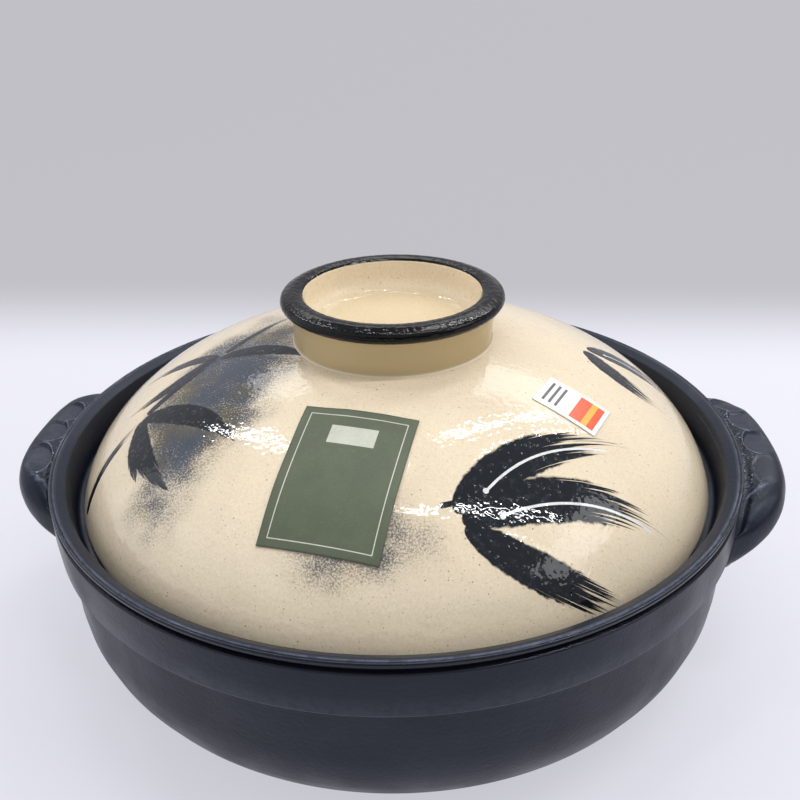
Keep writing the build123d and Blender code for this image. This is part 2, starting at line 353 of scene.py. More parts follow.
def makeBrushStroke():
    # One stroke of a loaded brush, on the unrolled lid. Along it t runs from 0 to 1, and its half width is
    # the leaf's, or even with round ends where taper is 0; bristles part towards its dry end.
    group, given, made = newGroup("brushStroke", [
        ("Place", "Vector", (0, 0, 0)), ("Start", "Vector", (0, 0, 0)), ("Turn", "Float", 0.0),
        ("Length", "Float", 0.05), ("Width", "Float", 0.01), ("Bend", "Float", 0.0),
        ("Taper", "Float", 1.0), ("Dryness", "Float", 0.5), ("Seed", "Float", 0.0),
    ], [("Ink", "Float")])
    spot = strokeSpot(group, given["Place"], given["Start"], given["Turn"])
    ragged = minus(group, noise(group, given["Place"], brush["raggedScale"], 3.0, 0.6, given["Seed"]), 0.5)
    share = calc(group, "DIVIDE", spot[0], given["Length"])
    held = calc(group, "MINIMUM", calc(group, "MAXIMUM", share, 0.001), 0.999)
    left = minus(group, 1.0, held)
    arch = times(group, held, left, 4.0)
    across = minus(group, spot[1], times(group, arch, given["Bend"]))
    rise, fall = calc(group, "POWER", held, brush["rise"]), calc(group, "POWER", left, brush["fall"])
    leaf = times(group, rise, fall, brush["full"])
    fromEnd = times(group, calc(group, "MINIMUM", held, left), 2.0, given["Length"])
    fromEnd = calc(group, "MINIMUM", calc(group, "DIVIDE", fromEnd, given["Width"]), 1.0)
    roundEnd = calc(group, "SQRT", times(group, fromEnd, minus(group, 2.0, fromEnd)))
    half = times(group, blendValues(group, given["Taper"], roundEnd, leaf), given["Width"], 0.5)
    side = calc(group, "DIVIDE", across, calc(group, "MAXIMUM", half, brush["thinnest"]))
    fromMiddle = calc(group, "ABSOLUTE", side)
    body = fade(group, plus(group, fromMiddle, times(group, ragged, brush["raggedSide"])), 1.0, 0.86)
    tail = minus(group, share, times(group, ragged, brush["raggedEnd"], given["Taper"]))
    ends = times(group, fade(group, spot[0], -brush["startFade"], brush["startFade"]),
                 fade(group, tail, 1.01, 0.99))
    hairs = newNode(group, "CombineXYZ", {
        0: times(group, spot[0], brush["hairsAlong"]), 1: times(group, across, brush["hairsAcross"]),
        2: given["Seed"]}).outputs[0]
    bristles = noise(group, hairs, 1.0, 3.0, 0.6)
    dry = times(group, fade(group, share, 0.22, 1.05), given["Dryness"])
    edgeDry = times(group, fade(group, fromMiddle, 0.45, 1.0), brush["edgeDryness"])
    limit = calc(group, "MULTIPLY_ADD", plus(group, dry, edgeDry), brush["dryReach"], brush["dryStart"])
    wet = fade(group, minus(group, bristles, limit), -0.03, 0.06)
    group.links.new(times(group, body, ends, wet), made["Ink"])
    return group


sponge = {
    "driftScale": 28.0, "drift": 1.1, "edge": 1.15, "core": 0.25, "grainScale": 1300.0, "dabScale": 90.0,
    "grainShare": 0.42, "dots": 0.83, "film": 0.17,
}


def makeSpongedWash():
    # a soft grey cloud of thin pigment, dabbed on so that the grain of the clay shows through
    group, given, made = newGroup("spongedWash", [
        ("Place", "Vector", (0, 0, 0)), ("Middle", "Vector", (0, 0, 0)), ("Turn", "Float", 0.0),
        ("Length", "Float", 0.1), ("Width", "Float", 0.1), ("Strength", "Float", 0.6), ("Seed", "Float", 0.0),
    ], [("Wash", "Float")])
    spot = strokeSpot(group, given["Place"], given["Middle"], given["Turn"])
    along = calc(group, "DIVIDE", spot[0], times(group, given["Length"], 0.5))
    across = calc(group, "DIVIDE", spot[1], times(group, given["Width"], 0.5))
    reach = calc(group, "SQRT", plus(group, times(group, along, along), times(group, across, across)))
    drift = minus(group, noise(group, given["Place"], sponge["driftScale"], 3.0, 0.55, given["Seed"]), 0.5)
    reach = plus(group, reach, times(group, drift, sponge["drift"]))
    cloud = fade(group, reach, sponge["edge"], sponge["core"])
    grain = noise(group, given["Place"], sponge["grainScale"], 3.0, 0.75)
    dabs = fade(group, noise(group, given["Place"], sponge["dabScale"], 4.0, 0.6, given["Seed"]),
                0.3, 0.7, 0.8, 1.1)
    load = times(group, cloud, dabs, given["Strength"])
    stipple = fade(group, plus(group, times(group, load, sponge["grainShare"]), grain), 0.6, 0.82)
    cover = calc(group, "MULTIPLY_ADD", stipple, sponge["dots"], sponge["film"])
    group.links.new(times(group, cover, fade(group, load, 0.0, 0.75)), made["Wash"])
    return group


felt = {
    "driftScale": 180.0, "drift": 0.004, "fibreScale": 1500.0, "pulpScale": 90.0, "pulpShare": 0.16,
    "pulpHeight": 0.6,
}


def makePaperSkin():
    # short pulp fibres in the tone and a faint felt in the surface
    group, given, made = newGroup("paperSkin", [
        ("Colour", "Color", (1, 1, 1, 1)), ("Fibre Colour", "Color", (1, 1, 1, 1)),
        ("Fibres", "Float", 0.3),
    ], [("Colour", "Color"), ("Height", "Float")])
    place = objectPlace(group)
    drift = newNode(group, "TexNoise", {"Vector": place, "Scale": felt["driftScale"]}).outputs["Color"]
    drift = newNode(group, "VectorMath", {0: drift, 3: felt["drift"]}, operation="SCALE").outputs[0]
    bent = newNode(group, "VectorMath", {0: drift, 1: place}, operation="ADD").outputs[0]
    fibre = fade(group, noise(group, bent, felt["fibreScale"], 4.0, 0.7), 0.52, 0.7)
    pulp = noise(group, place, felt["pulpScale"], 4.0, 0.6)
    colour = blendColours(group, times(group, fibre, given["Fibres"]), given["Colour"], given["Fibre Colour"])
    pulpShare = fade(group, pulp, 0.35, 0.7, 0.0, felt["pulpShare"])
    colour = blendColours(group, pulpShare, colour, given["Fibre Colour"])
    group.links.new(colour, made["Colour"])
    group.links.new(plus(group, fibre, times(group, pulp, felt["pulpHeight"])), made["Height"])
    return group


glazeSkin = makeGlazeSkin()
brushStroke = makeBrushStroke()
spongedWash = makeSpongedWash()
paperSkin = makePaperSkin()
print("shared effects built")

clayGritScale = 900.0
# the thin colour is thin glaze and a painted sheen, the glint colour a painted highlight, the pooled colour
# pooled glaze and painted shade
darkGlaze = {
    "colour": tone(17, 22, 34), "cloudColour": tone(24, 29, 43), "fleckColour": tone(8, 9, 13),
    "thinColour": tone(86, 91, 108), "paintedHighlightColour": tone(176, 182, 196), "poolAndShadeColour": tone(12, 13, 16),
    "clayColour": tone(168, 142, 112), "clayShade": tone(122, 98, 76), "clayRoughness": 0.9,
    "sheenColour": tone(228, 238, 255), "refraction": 1.38, "roughness": 0.36, "poolSmooth": 0.2,
    "poolAndShadeShare": 0.75, "streakHeight": 0.5, "gritHeight": 2.0,
    "throwingScale": 230.0, "throwingShare": 0.35, "footHeight": 2.4, "footDrift": 1.2, "peel": 0.09,
}


def bareClay(tree, place, glaze):
    # unglazed clay and the grit in its surface
    grit = noise(tree, place, clayGritScale, 4.0, 0.7)
    return blendColours(tree, fade(tree, grit, 0.4, 0.7), glaze["clayColour"], glaze["clayShade"]), grit


def makeDarkGlaze(name):
    # satin blue-black glaze; it thins to grey on edges, and the same grey and a near-white are painted sheen
    # and painted highlights on crests, lips and tops; it pools dark in hollows, and the same dark is painted
    # shade under the lip and in creases
    material, tree, shader = newMaterial(name, IOR=darkGlaze["refraction"])
    shader["Specular Tint"].default_value = darkGlaze["sheenColour"]
    skin = placeGroup(tree, glazeSkin, {
        "Colour": darkGlaze["colour"], "Cloud Colour": darkGlaze["cloudColour"],
        "Fleck Colour": darkGlaze["fleckColour"], "Cloud Amount": 1.0, "Fleck Amount": 0.35,
        "Fleck Scale": 620.0, "Grain Amount": 0.35, "Pinhole Scale": 46.0, "Peel Scale": 620.0})
    place = objectPlace(tree)
    links = {"Vector": place, "Scale": (9.0, 9.0, darkGlaze["throwingScale"])}
    streaks = noise(tree, newNode(tree, "Mapping", links).outputs[0], 1.0, 3.0, 0.6)
    streakShare = fade(tree, streaks, 0.5, 0.72, 0.0, darkGlaze["throwingShare"])
    colour = blendColours(tree, streakShare, skin["Colour"], darkGlaze["cloudColour"])
    lighterGlaze, poolAndShade = field(tree, "lighterGlaze"), field(tree, "poolAndShade")
    # lighter grey for thin glaze on edges and for painted sheen and highlights; above 1 the field adds a
    # near-white painted highlight
    thinGlazeAndPaintedLight = times(tree, lighterGlaze, fade(tree, noise(tree, place, 340.0, 3.0), 0.3, 0.6, 0.35, 1.0))
    colour = blendColours(tree, thinGlazeAndPaintedLight, colour, darkGlaze["thinColour"])
    colour = blendColours(tree, fade(tree, lighterGlaze, 1.0, 1.8), colour, darkGlaze["paintedHighlightColour"])
    # near-black where glaze pools and where painted shade stands for the shadow under the lip and in creases
    colour = blendColours(tree, times(tree, poolAndShade, darkGlaze["poolAndShadeShare"]), colour, darkGlaze["poolAndShadeColour"])
    drift = times(tree, noise(tree, place, 60.0), darkGlaze["footDrift"] * mm)
    footLine = darkGlaze["footHeight"] * mm
    bare = fade(tree, plus(tree, parts(tree, place)[2], drift), footLine + 0.0008, footLine + 0.0004)
    clay, grit = bareClay(tree, place, darkGlaze)
    tree.links.new(blendColours(tree, bare, colour, clay), shader["Base Color"])
    rough = fade(tree, noise(tree, place, 45.0, 3.0), 0.3, 0.7, darkGlaze["roughness"] - 0.05,
                 darkGlaze["roughness"] + 0.08)
    rough = calc(tree, "MULTIPLY_ADD", poolAndShade, -darkGlaze["poolSmooth"], rough)
    tree.links.new(blendValues(tree, bare, rough, darkGlaze["clayRoughness"]), shader["Roughness"])
    height = plus(tree, skin["Height"], times(tree, streaks, darkGlaze["streakHeight"]))
    height = plus(tree, height, times(tree, bare, grit, darkGlaze["gritHeight"]))
    bumpInto(tree, shader, height, darkGlaze["peel"] * mm)
    return material


potGlaze = makeDarkGlaze("potGlaze")
handleGlaze = makeDarkGlaze("handleGlaze")

# in the cream glaze the pooled colour is pooled glaze and painted shade on the ring's waist, and the seam
# colour a painted highlight
creamGlaze = {
    "colour": tone(238, 222, 193), "cloudColour": tone(229, 212, 185), "fleckColour": tone(118, 84, 58),
    "poolAndShadeColour": tone(196, 175, 131), "seamHighlightColour": tone(246, 236, 214), "inkColour": tone(17, 22, 28),
    "thinInkColour": tone(70, 76, 88), "washColour": tone(66, 73, 84), "mistColour": tone(92, 86, 70),
    "slipColour": tone(226, 228, 226), "clayColour": tone(196, 170, 134), "clayShade": tone(150, 122, 92),
    "clayRoughness": 0.85, "roughness": 0.05, "peel": 0.125, "inkBlisters": 420.0, "inkHeight": 1.1,
}

# Brush work on the unrolled lid: a spray of bamboo. The place is in millimetres from the lid's middle,
# turn in degrees from +X, then length, width, bend, taper (1 a leaf, 0 a stem), dryness and seed.
bambooStrokes = [
    ((-136, -66), 41, 44, 5.2, 1.0, 0, 0.75, 1.3),
    ((-101, -35), 45, 40, 4.8, -0.8, 0, 0.7, 2.1),
    ((-71, -5), 49, 36, 4.3, 0.8, 0, 0.7, 3.4),
    ((-46, 24), 54, 44, 3.8, -1.0, 0, 0.8, 4.2),
    ((-104, -38), -62, 52, 10.5, -4, 1, 0.55, 5.7),
    ((-102, -37), -34, 58, 11.5, 5, 1, 0.6, 6.3),
    ((-101, -36), -84, 38, 8.0, -3, 1, 0.5, 7.9),
    ((-73, -8), -22, 46, 9.0, 4, 1, 0.6, 8.4),
    ((-75, -6), -150, 44, 8.5, 4, 1, 0.6, 9.2),
    ((-74, -7), 172, 40, 8.0, -3, 1, 0.6, 10.6),
    ((30, -104), 12, 92, 19.0, 8, 1, 0.95, 11.8),
    ((27, -101), 34, 84, 17.0, 8, 1, 0.9, 12.5),
    ((31, -107), -8, 78, 15.0, -6, 1, 0.95, 13.1),
    ((22, -100), 20, 13, 2.4, 0, 0, 0.3, 14.7),
    ((84, 14), -6, 50, 15.0, 5, 1, 0.85, 15.2),
    ((82, 9), -34, 44, 12.0, -4, 1, 0.85, 16.9),
    ((10, 92), 24, 60, 11.0, 5, 1, 0.7, 17.3),
    ((8, 90), 150, 56, 10.5, -5, 1, 0.7, 18.8),
    ((9, 91), 86, 44, 9.0, 3, 1, 0.7, 19.5),
]
# lines of thick white slip trailed over the leaves, each from a round drop; columns as above
slipLines = [
    ((44, -100), 12, 62, 1.1, 5.5, 0, 0.1, 21.3), ((43, -100.5), 12, 2.2, 2.3, 0, 0, 0.0, 22.6),
    ((38, -92), 34, 56, 1.1, 5.5, 0, 0.1, 23.8), ((37, -92.5), 34, 2.2, 2.3, 0, 0, 0.0, 24.4),
    ((93, 15), -5, 32, 1.0, 3.0, 0, 0.1, 25.1), ((92, 15), -5, 2.0, 2.1, 0, 0, 0.0, 26.2),
]
# middle, turn, length, width, strength and seed
washPatches = [
    ((-68, -34), 76, 168, 78, 0.95, 3.0),
    ((-6, -112), 8, 84, 46, 0.6, 5.0),
    ((24, 104), 20, 130, 70, 0.6, 9.0),
]


def paintBamboo(tree, place, colour):
    # washes first, then every stroke over them, then the slip
    tint = fade(tree, noise(tree, place, 22.0, 3.0, 0.6), 0.42, 0.58)
    washColour = blendColours(tree, tint, creamGlaze["washColour"], creamGlaze["mistColour"])
    for middle, turn, length, width, strength, seed in washPatches:
        wash = placeGroup(tree, spongedWash, {
            "Place": place, "Middle": (middle[0] * mm, middle[1] * mm, 0), "Turn": math.radians(turn),
            "Length": length * mm, "Width": width * mm, "Strength": strength, "Seed": seed})["Wash"]
        colour = blendColours(tree, wash, colour, washColour)
    load = fade(tree, noise(tree, place, 260.0, 4.0, 0.7), 0.5, 0.8, 0.0, 0.5)
    inkColour = blendColours(tree, load, creamGlaze["inkColour"], creamGlaze["thinInkColour"])
    for rows, rowColour in ((bambooStrokes, inkColour), (slipLines, creamGlaze["slipColour"])):
        mark = 0.0
        for start, turn, length, width, bend, taper, dryness, seed in rows:
            stroke = placeGroup(tree, brushStroke, {
                "Place": place, "Start": (start[0] * mm, start[1] * mm, 0), "Turn": math.radians(turn),
                "Length": length * mm, "Width": width * mm, "Bend": bend * mm, "Taper": float(taper),
                "Dryness": dryness, "Seed": seed})
            mark = calc(tree, "MAXIMUM", stroke["Ink"], mark)
        colour = blendColours(tree, mark, colour, rowColour)
    return colour


def inkedPoints(unrolled):
    # where the strokes lie on the lid's points, for the relief of the ink: the same leaf form, soft-edged
    inked = np.zeros(len(unrolled))
    for start, turn, length, width, bend, taper, dryness, seed in bambooStrokes:
        angle = math.radians(turn)
        offset = unrolled[:, :2] / mm - start
        along = offset @ [math.cos(angle), math.sin(angle)]
        share = np.clip(along / length, 0.001, 0.999)
        across = offset @ [-math.sin(angle), math.cos(angle)] - 4 * share * (1 - share) * bend
        leaf = brush["full"] * share ** brush["rise"] * (1 - share) ** brush["fall"]
        half = (taper * leaf + 1 - taper) * width / 2
        inside = smoothStep(0.8, -0.2, np.abs(across) - half) * smoothStep(-0.5, 0.5, along)
        inked = np.maximum(inked, inside * smoothStep(length * 1.02, length * 0.8, along))
    return inked


def creamSkin(tree):
    return placeGroup(tree, glazeSkin, {
        "Colour": creamGlaze["colour"], "Cloud Colour": creamGlaze["cloudColour"],
        "Fleck Colour": creamGlaze["fleckColour"], "Cloud Amount": 0.6, "Fleck Amount": 0.8,
        "Fleck Scale": 400.0, "Grain Amount": 0.12, "Pinhole Scale": 60.0, "Peel Scale": 400.0})


def makeLidGlaze():
    # glossy cream glaze with brush work under it; the edge that rests on the pot is bare clay (field bare)
    material, tree, shader = newMaterial("lidGlaze")
    skin = creamSkin(tree)
    colour = paintBamboo(tree, field(tree, "unrolled", "Vector"), skin["Colour"])
    place = objectPlace(tree)
    bare = fade(tree, field(tree, "bare"), 0.4, 0.6)
    clay = bareClay(tree, place, creamGlaze)[0]
    tree.links.new(blendColours(tree, bare, colour, clay), shader["Base Color"])
    rough = blendValues(tree, bare, creamGlaze["roughness"], creamGlaze["clayRoughness"])
    tree.links.new(rough, shader["Roughness"])
    links = {"Vector": place, "Scale": creamGlaze["inkBlisters"]}
    blisters = newNode(tree, "TexVoronoi", links).outputs["Distance"]
    raised = times(tree, field(tree, "inked"), fade(tree, blisters, 0.1, 0.26, 0.0, creamGlaze["inkHeight"]))
    bumpInto(tree, shader, plus(tree, skin["Height"], raised), creamGlaze["peel"] * mm)
    return material


blackLip = {
    "colour": tone(6, 6, 7), "thinColour": tone(24, 21, 17), "roughness": 0.12, "refraction": 1.32,
    "bubbleScale": 480.0, "bubbleHeight": 1.7, "edgeScale": 330.0,
}


def makeRingGlaze():
    # cream below and inside, darkened on the waist and in the recess by painted shade with pooled glaze, and
    # with a painted highlight along the seam; bubbly black over the lip
    material, tree, shader = newMaterial("ringGlaze", IOR=blackLip["refraction"])
    skin = creamSkin(tree)
    place = objectPlace(tree)
    # painted shade with pooled glaze on the waist and in the recess, then a painted highlight along the seam
    pooledAndShaded = fade(tree, field(tree, "poolAndShade"), 0.0, 0.8)
    cream = blendColours(tree, pooledAndShaded, skin["Colour"], creamGlaze["poolAndShadeColour"])
    cream = blendColours(tree, field(tree, "seamHighlight"), cream, creamGlaze["seamHighlightColour"])
    ragged = times(tree, minus(tree, noise(tree, place, blackLip["edgeScale"], 3.0, 0.6), 0.5), 0.5)
    black = fade(tree, plus(tree, field(tree, "lip"), ragged), 0.46, 0.54)
    lighterGlaze = fade(tree, noise(tree, place, 190.0, 4.0, 0.65), 0.5, 0.75, 0.0, 0.5)
    blackColour = blendColours(tree, lighterGlaze, blackLip["colour"], blackLip["thinColour"])
    tree.links.new(blendColours(tree, black, cream, blackColour), shader["Base Color"])
    rough = blendValues(tree, black, creamGlaze["roughness"], blackLip["roughness"])
    tree.links.new(rough, shader["Roughness"])
    bubbles = noise(tree, place, blackLip["bubbleScale"], 2.0, 0.5)
    height = plus(tree, skin["Height"], times(tree, black, bubbles, blackLip["bubbleHeight"]))
    bumpInto(tree, shader, height, creamGlaze["peel"] * mm)
    return material


lidGlaze = makeLidGlaze()
ringGlaze = makeRingGlaze()
print("glazes mixed")

potLow, potHigh = nodeBox("pot_body")
pot = {
    "bandHeight": 22.0, "bandStep": 3.4, "bandTaper": 0.5, "stepDrop": 1.4, "cornerRadius": 40.6,
    "underside": 3.2, "wall": 9.0, "floor": 9.0, "floorDish": 1.5, "footInset": 5.2, "footWidth": 11.0,
    "footFlare": 2.0, "footRecess": 2.0, "rimWidth": 3.2, "rimInset": 0.6, "lipHeight": 1.9,
    "neckDepth": 2.0, "neckHeight": 2.4, "bevelWidth": 3.0, "bevelDrop": 2.0, "galleryWall": 9.0,
    "ledgeDepth": 15.7, "ledgeWidth": 10.0, "ledgeThickness": 4.0, "ledgeBlend": 15.0,
    "grooveInset": 1.15, "grooveDepth": 0.25, "grooveHalf": 0.4, "beadFall": 0.35, "crestRise": 0.2,
    "bandThin": 0.55, "footThin": 0.3,
    # the crest lines are painted highlight lines along the rim's crests
    "crestHighlightLines": ((0.7, 0.24, 1.35), (1.8, 0.3, 1.3)),  # inset from the rim, half width, strength
    "wobble": 0.16, "around": 400, "step": 3.0,
}


def potCorners(size):
    # radius, height and rounding: from the middle of the foot out, up the wall, over the rim and down inside
    band, top = potHigh[0], potHigh[2]
    bowl, rim = band - size["bandStep"], band - size["rimInset"]
    rimInner, gallery = rim - size["rimWidth"], band - size["galleryWall"]
    inner, ledgeEnd = bowl - size["wall"], gallery - size["ledgeWidth"]
    foot = bowl - size["cornerRadius"] - size["footInset"]
    under, floor = size["underside"], size["underside"] + size["floor"]
    neckTop = top - size["lipHeight"]
    neckLow, bandLow = neckTop - size["neckHeight"], top - size["bandHeight"]
    edge, crest = band - size["bandTaper"], band + size["crestRise"]
    groove, half, fall = rim - size["grooveInset"], size["grooveHalf"], size["beadFall"]
    ledge = top - size["ledgeDepth"]
    ledgeUnder = ledge - size["ledgeThickness"]
    return [
        (0, size["footRecess"]),
        (foot - size["footWidth"] - size["footRecess"], size["footRecess"], 1.5),
        (foot - size["footWidth"], 0, 0.9), (foot, 0, 0.9), (foot + size["footFlare"], under, 1.2),
        (bowl, under, size["cornerRadius"]),
        (bowl, bandLow - size["stepDrop"], 2.2), (edge, bandLow, 0.9), (crest, (bandLow + neckLow) / 2, 150),
        (edge, neckLow, 0.7), (rim - size["neckDepth"], neckLow + 0.7, 0.6),
        (rim - size["neckDepth"], neckTop - 0.2, 0.5), (rim - 0.2, neckTop, 0.5), (rim, top - fall, 0.7),
        ((rim + groove) / 2, top, 0.8), (groove + half, top - fall, 0.3),
        (groove, top - size["grooveDepth"] - fall, 0.4), (groove - half, top - fall, 0.3),
        ((groove - half + rimInner) / 2, top, 1.6), (rimInner, top - fall, 0.6),
        (rimInner - size["bevelWidth"], top - size["bevelDrop"], 1.2),
        (gallery, ledge, 2.0), (ledgeEnd, ledge, 1.0), (ledgeEnd, ledgeUnder, 1.6),
        (inner, ledgeUnder - size["ledgeBlend"], 9.0),
        (inner, floor, size["cornerRadius"] - size["wall"]), (0, floor - size["floorDish"]),
    ]


def hump(value, middle, width):
    # bell round a middle: exp(-(distance / width)^2)
    return np.exp(-((value - middle) / width) ** 2)


def buildPot():
    # The outline turned about Z, its wall drawn in by up to wobble. The glaze is thin on the band's lower
    # corner and above the foot, and painted highlight lines run along the rim's crests; below the lip, in the
    # groove and beside it painted shade darkens it, with pooled glaze.
    outline = roundedOutline(potCorners(pot), pot["step"])
    points = turnedPoints(outline, pot["around"])
    radius, height = np.hypot(points[:, 0], points[:, 1]), points[:, 2].copy()
    top, band = potHigh[2], potHigh[0]
    wall = smoothStep(0, 12, height) * smoothStep(top, top - 8, height)
    drawnIn = pot["wobble"] * (0.5 + 0.5 * np.clip(waves(points, 70, 11), -1, 1)) * wall
    points[:, :2] *= (1 - drawnIn / np.maximum(radius, 1))[:, None]
    outside = smoothStep(band - 6, band - 4.5, radius)
    lighterGlaze = pot["bandThin"] * hump(height, top - pot["bandHeight"], 0.8) * outside
    footCurve = hump(height, potLow[2] + pot["underside"] + 2, 4) * smoothStep(90, 110, radius)
    lighterGlaze += pot["footThin"] * footCurve
    # painted shade below the lip, in the neck under its overhang, with pooled glaze
    poolAndShade = hump(height, top - pot["lipHeight"] - 1.2, 1.5) * outside
    rim = band - pot["rimInset"]
    # painted shade as a dark line in the groove, with pooled glaze
    line = hump(radius, rim - pot["grooveInset"], 0.35) * smoothStep(top - 1.4, top - 0.8, height)
    poolAndShade = np.maximum(poolAndShade, line)
    # painted highlight lines on the rim's crests, raised above 1 towards a near-white
    for inset, width, strength in pot["crestHighlightLines"]:
        lighterGlaze += strength * hump(radius, rim - inset, width) * smoothStep(top - 1.4, top - 0.6, height)
    # painted shade on the lip's outer face
    poolAndShade = np.maximum(poolAndShade, smoothStep(rim - 0.5, rim - 0.15, radius) * smoothStep(top - 2, top - 1, height))
    turns = np.clip(waves(points * [1, 1, 0.2], 24, 12), 0, 1)
    lighterGlaze = np.clip(lighterGlaze * (0.7 + 0.3 * turns), 0, 2)
    addPiece("potBody", points, turnedFaces(len(outline) - 2, pot["around"]), potGlaze, "pot",
             "pot_body", {"lighterGlaze": lighterGlaze, "poolAndShade": poolAndShade})


buildPot()

lidLow, lidHigh = nodeBox("lid_dome")
lid = {
    "fullness": 1.84, "shoulder": 1 / 2.22, "cut": 0.98537, "edgeRound": 1.5, "wall": 7.0,
    "wobble": 0.22, "rings": 0.05, "around": 460, "outerStep": 1.5, "innerStep": 3.2,
}


def domeShare(share):
    # (1 - (cut share)^fullness)^shoulder, scaled to run from 1 at the axis to 0 at the edge
    def oval(value):
        return (1 - (value * lid["cut"]) ** lid["fullness"]) ** lid["shoulder"]
    return (oval(share) - oval(1.0)) / (1 - oval(1.0))


def domeOutline(edgeRadius, edgeHeight, topHeight):
    # dense curve from the axis down to the edge
    share = np.sin(np.linspace(0, np.pi / 2, 1500))
    return np.stack([edgeRadius * share, edgeHeight + (topHeight - edgeHeight) * domeShare(share)], 1)


def evenlySpaced(curve, step):
    # the curve read at even steps of its own length
    lengths = arcLengths(curve)
    places = np.linspace(0, lengths[-1], math.ceil(lengths[-1] / step) + 1)
    return np.stack([np.interp(places, lengths, curve[:, 0]), np.interp(places, lengths, curve[:, 1])], 1)


lidEdgeHeight = lidLow[2] + lid["edgeRound"]
domeCurve = domeOutline(lidHigh[0], lidEdgeHeight, lidHigh[2])


def domeHeight(radius):
    return np.interp(radius, domeCurve[:, 0], domeCurve[:, 1])


def onDome(points, normal, lift):
    # points slid along one direction onto the dome by Newton steps, then raised off it by lift
    for _ in range(8):
        gap = points[..., 2] - domeHeight(np.hypot(points[..., 0], points[..., 1]))
        further = points + 0.01 * normal
        rate = (further[..., 2] - domeHeight(np.hypot(further[..., 0], further[..., 1])) - gap) / 0.01
        points = points - (gap / rate)[..., None] * normal
    radius = np.hypot(points[..., 0], points[..., 1])
    slope = (domeHeight(radius + 0.2) - domeHeight(radius - 0.2)) / 0.4
    out = np.stack([-slope * points[..., 0] / radius, -slope * points[..., 1] / radius, 1 + 0 * radius], -1)
    return points + np.asarray(lift)[..., None] * out / np.linalg.norm(out, axis=-1, keepdims=True)


def buildLid():
    # Inner curve, rounded edge and outer curve turned about Z, lowered by up to wobble and by the throwing
    # rings. A point's place on the unrolled lid is its way down the outline, along its own angle.
    edge, wall = lid["edgeRound"], lid["wall"]
    inner = evenlySpaced(domeOutline(lidHigh[0] - wall, lidEdgeHeight, lidHigh[2] - wall), lid["innerStep"])
    outer = evenlySpaced(domeCurve, lid["outerStep"])[::-1]
    turn = np.linspace(0, np.pi / 2, 7)
    heel = np.stack([inner[-1, 0] + edge - edge * np.cos(turn), lidEdgeHeight - edge * np.sin(turn)], 1)
    toe = np.stack([outer[0, 0] - edge + edge * np.sin(turn), lidEdgeHeight - edge * np.cos(turn)], 1)
    outline = np.concatenate([inner[:-1], heel, toe, outer[1:]])
    lengths = arcLengths(outline)
    wayDown = np.concatenate([[lengths[-1]], np.repeat((lengths[-1] - lengths)[1:-1], lid["around"]), [0]])
    points = turnedPoints(outline, lid["around"])
    angle = np.arctan2(points[:, 1], points[:, 0])
    unrolled = np.stack([wayDown * np.cos(angle), wayDown * np.sin(angle), 0 * angle], 1) * mm
    sag = lid["wobble"] * (0.5 + 0.5 * np.clip(waves(points, 62, 21), -1, 1))
    marks = lid["rings"] * (0.5 + 0.5 * np.sin(wayDown / 2.1 + 1.5 * waves(points, 90, 22)))
    marks = marks * smoothStep(lidLow[2] + 2, lidLow[2] + 14, points[:, 2])
    points[:, 2] -= (sag + marks) * smoothStep(lidEdgeHeight, lidEdgeHeight + 6, points[:, 2])
    bare = smoothStep(lidLow[2] + 1.3, lidLow[2] + 0.5, points[:, 2])
    addPiece("lidDome", points, turnedFaces(len(outline) - 2, lid["around"]), lidGlaze, "lid",
             "lid_dome", {"unrolled": unrolled, "bare": bare, "inked": inkedPoints(unrolled)})


buildLid()

ringHigh = nodeBox("lid_knob_ring")[1]
ring = {
    "lipInset": 4.8, "mouthInset": 9.6, "lipHeight": 5.0, "waistRadius": 41.2, "waistHeight": 9.0,
    "footRadius": 40.8, "footReach": 0.7, "floorRise": 0.9, "floorRound": 9.0, "wallDraft": 1.6,
    "sink": 2.5, "blackDrop": 6.6, "bumps": 0.05, "recessPoolAndShade": 0.36, "around": 420, "step": 0.8,
}


def ringCorners(size):
    # radius, height and rounding: from under the floor out, up the waist, over the lip and down to the floor
    lip, top = ringHigh[0], ringHigh[2]
    mouth, crown, waist = lip - size["mouthInset"], lip - size["lipInset"], size["waistRadius"]
    foot = size["footRadius"] + size["footReach"]
    seat, floor = domeHeight(foot), lidHigh[2] + size["floorRise"]
    return [
        (0, lidHigh[2] - size["sink"]), (foot, seat - size["sink"]), (foot, seat - 0.1, 0.3),
        (size["footRadius"], seat + 0.5, 1.6), (waist, top - size["waistHeight"] - 1.5, 9.0),
        (waist + 0.7, top - size["lipHeight"] - 1.9, 1.6), (lip - 1.2, top - size["lipHeight"] - 0.6, 1.4),
        (lip, top - size["lipHeight"] + 0.9, 1.6), (lip - 0.5, top - 1.7, 2.2), (crown, top + 0.15, 6.0),
        (mouth + 1.0, top - 0.55, 0.9), (mouth, top - 1.6, 1.0),
        (mouth - size["wallDraft"], floor, size["floorRound"]), (0, floor),
    ]


